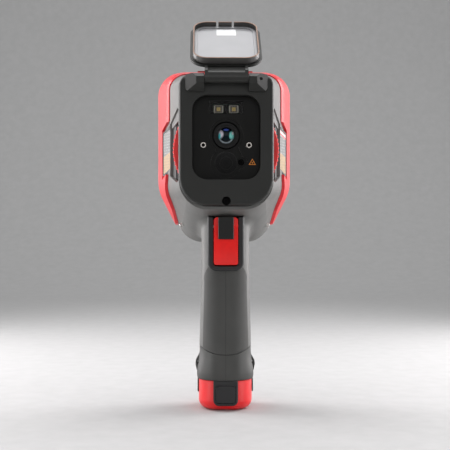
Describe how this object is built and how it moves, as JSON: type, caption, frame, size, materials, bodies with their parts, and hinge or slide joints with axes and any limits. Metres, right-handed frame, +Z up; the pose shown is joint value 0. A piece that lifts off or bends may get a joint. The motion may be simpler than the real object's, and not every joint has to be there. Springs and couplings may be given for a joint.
{
  "type": "thermal imaging camera",
  "caption": "Pistol-grip thermal imaging camera with a flip-up lens cover, focus ring, trigger, rear screen and a removable battery in the handle's foot.",
  "frame": {"origin": "middle of the battery's flat underside, which the camera stands on", "axes": "+Z up along the handle, -Y towards what the lens looks at, +X to the right as seen from in front of the lens"},
  "size_m": [0.1136, 0.1061, 0.3187],
  "materials": {
    "grey_shell": "fine textured satin",
    "dark_plastic": "fine textured satin",
    "black_plastic": "satin",
    "black_panel": "satin",
    "grip_rubber": "matt",
    "red_rubber": "satin",
    "red_plastic": "satin",
    "clear_window": "clear gloss",
    "dark_glass": "gloss",
    "ir_glass": "coated gloss",
    "screen_glass": "gloss",
    "display_panel": "gloss",
    "circuit_board": "solder mask",
    "led_package": "gloss",
    "steel": "polished",
    "black_screw": "black oxide",
    "brass": "satin",
    "aluminium": "satin",
    "anodised": "black anodised",
    "acetal": "satin",
    "label_film": "satin film",
    "pale_liner": "satin",
    "white_film": "satin film",
    "cell_wrap": "wrapped",
    "gold": "gold plated",
    "key_rubber": "matt"
  },
  "bodies": {
    "chassis": {"left_shell": "grey_shell", "right_shell": "grey_shell", "left_grip": "grip_rubber", "right_grip": "grip_rubber", "handle_collar": "grey_shell", "front_bezel": "dark_plastic", "chin_screw": "black_screw", "lens_panel": "black_panel", "led_window": "clear_window", "led_board": "circuit_board", "led_lamps": "led_package", "panel_screws": "steel", "visible_window": "dark_glass", "visible_camera": "black_plastic", "laser_module": "brass", "ring_carrier": "black_plastic", "ring_retainer": "black_plastic", "lens_barrel": "anodised", "detector_module": "aluminium", "slot_floors": "black_plastic", "strap_studs": "steel", "trigger_surround": "black_plastic", "trigger_pin": "steel", "switch_bracket": "black_plastic", "trigger_switch": "black_plastic", "contact_block": "black_plastic", "hinge_pin": "steel", "rear_housing": "dark_plastic", "screen_glass": "screen_glass", "display": "display_panel", "key_board": "circuit_board", "dome_switches": "steel", "main_board": "circuit_board", "bumper": "red_rubber", "label_frames": "dark_plastic", "left_label": "label_film", "right_label": "label_film"},
    "focus_ring": {"focus_ring": "red_plastic"},
    "focus_gear": {"focus_gear": "acetal"},
    "lens_cell": {"lens_cell": "anodised", "ir_lens": "ir_glass"},
    "trigger": {"trigger": "red_plastic", "trigger_pad": "dark_plastic"},
    "battery": {"battery_case": "red_plastic", "latch_frame": "black_plastic", "battery_cells": "cell_wrap", "battery_contacts": "gold"},
    "latch_button": {"latch_button": "black_plastic"},
    "left_pad": {"left_pad": "black_plastic"},
    "right_pad": {"right_pad": "black_plastic"},
    "lens_cover": {"cover_shell": "dark_plastic", "cover_lip": "dark_plastic", "cover_liner": "pale_liner", "cover_label": "white_film", "hinge_arm": "dark_plastic"},
    "navigation_ring": {"navigation_ring": "key_rubber"},
    "ok_key": {"ok_key": "key_rubber"},
    "back_key": {"back_key": "key_rubber"},
    "play_key": {"play_key": "key_rubber"},
    "power_key": {"power_key": "key_rubber"}
  },
  "joints": [
    {"name": "cover_hinge", "type": "hinge", "parent": "chassis", "child": "lens_cover", "pos_m": [0, -0.0565, 0.2635], "axis": [1, 0, 0], "range_deg": [0, 233.6]},
    {"name": "focus_turn", "type": "hinge", "parent": "chassis", "child": "focus_ring", "pos_m": [0, 0, 0.2097], "axis": [0, 1, 0], "range_deg": [-45, 45]},
    {"name": "lens_gear_turn", "type": "hinge", "parent": "chassis", "child": "focus_gear", "pos_m": [0, 0, 0.2207], "axis": [0, 1, 0], "range_deg": [-66, 66]},
    {"name": "lens_travel", "type": "slide", "parent": "chassis", "child": "lens_cell", "axis": [0, 1, 0], "range_m": [-0.00125, 0.00125]},
    {"name": "trigger_pull", "type": "hinge", "parent": "chassis", "child": "trigger", "pos_m": [0, -0.0245, 0.149], "axis": [1, 0, 0], "range_deg": [0, 6.5], "stiffness_Nm_per_rad": 0.6, "springref_deg": -5.73},
    {"name": "battery_slide", "type": "slide", "parent": "chassis", "child": "battery", "axis": [0, 0, -1], "range_m": [0, 0.075]},
    {"name": "latch_press", "type": "slide", "parent": "battery", "child": "latch_button", "axis": [0, 1, 0], "range_m": [0, 0.0015], "stiffness_N_per_m": 800, "springref_m": -0.001},
    {"name": "left_pad_press", "type": "slide", "parent": "battery", "child": "left_pad", "axis": [1, 0, 0], "range_m": [0, 0.0012], "stiffness_N_per_m": 800, "springref_m": -0.001},
    {"name": "right_pad_press", "type": "slide", "parent": "battery", "child": "right_pad", "axis": [-1, 0, 0], "range_m": [0, 0.0012], "stiffness_N_per_m": 800, "springref_m": -0.001},
    {"name": "navigation_press", "type": "slide", "parent": "chassis", "child": "navigation_ring", "axis": [0, -1, 0], "range_m": [0, 0.0005], "stiffness_N_per_m": 1500, "springref_m": -0.0004},
    {"name": "ok_press", "type": "slide", "parent": "chassis", "child": "ok_key", "axis": [0, -1, 0], "range_m": [0, 0.0005], "stiffness_N_per_m": 900, "springref_m": -0.0004},
    {"name": "back_press", "type": "slide", "parent": "chassis", "child": "back_key", "axis": [0, -1, 0], "range_m": [0, 0.0005], "stiffness_N_per_m": 900, "springref_m": -0.0004},
    {"name": "play_press", "type": "slide", "parent": "chassis", "child": "play_key", "axis": [0, -1, 0], "range_m": [0, 0.0005], "stiffness_N_per_m": 900, "springref_m": -0.0004},
    {"name": "power_press", "type": "slide", "parent": "chassis", "child": "power_key", "axis": [0, -1, 0], "range_m": [0, 0.0005], "stiffness_N_per_m": 900, "springref_m": -0.0004}
  ],
  "couplings": [
    {"joint": "lens_gear_turn", "follows": "focus_turn", "ratio": 1.4583},
    {"joint": "lens_travel", "follows": "focus_turn", "m_per_rad": 0.001528}
  ]
}
